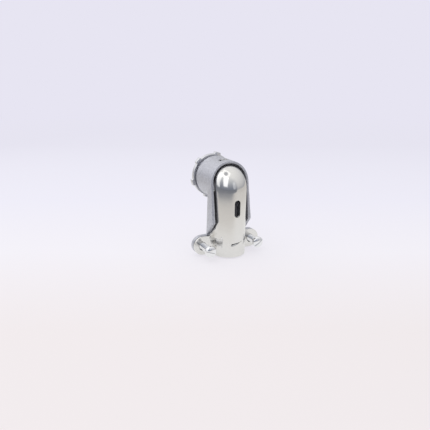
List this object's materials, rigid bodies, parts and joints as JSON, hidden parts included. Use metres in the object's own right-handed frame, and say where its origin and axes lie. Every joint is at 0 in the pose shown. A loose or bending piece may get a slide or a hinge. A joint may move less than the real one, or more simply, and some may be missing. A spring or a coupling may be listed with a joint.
{
  "type": "angled squeeze connector",
  "caption": "Right-angle squeeze connector: cast elbow with a threaded hub and locknut, and a hooked sheet cover that clamps flexible metal conduit by screws.",
  "frame": {"origin": "on the axis of the conduit seat, in the plane of the casting's foot", "axes": "+Z along the conduit axis up into the elbow, +Y along the hub out of its threaded end, X from ear to ear"},
  "size_m": [0.0428, 0.039, 0.0569],
  "materials": {
    "cast_zinc": "as-cast zinc alloy, satin grey",
    "plated_sheet": "bright zinc-plated pressed steel",
    "plated_screw": "bright zinc-plated steel",
    "plated_nut": "zinc-plated steel"
  },
  "bodies": {
    "elbow": {"elbow_body": "cast_zinc"},
    "cover": {"clamp_cover": "plated_sheet"},
    "left_screw": {"left_clamp_screw": "plated_screw"},
    "right_screw": {"right_clamp_screw": "plated_screw"},
    "locknut": {"locknut": "plated_nut"}
  },
  "joints": [
    {"name": "cover_swing", "type": "hinge", "parent": "elbow", "child": "cover", "pos_m": [0, 0.0066, 0.0542], "axis": [-1, 0, 0], "range_deg": [-0.75, 5.5]},
    {"name": "left_screw_turn", "type": "hinge", "parent": "elbow", "child": "left_screw", "pos_m": [-0.016, 0, 0.0064], "axis": [0, 1, 0], "continuous": true},
    {"name": "right_screw_turn", "type": "hinge", "parent": "elbow", "child": "right_screw", "pos_m": [0.016, 0, 0.0064], "axis": [0, 1, 0], "continuous": true},
    {"name": "locknut_turn", "type": "hinge", "parent": "elbow", "child": "locknut", "pos_m": [0, 0.0222, 0.043], "axis": [0, 1, 0], "continuous": true}
  ]
}
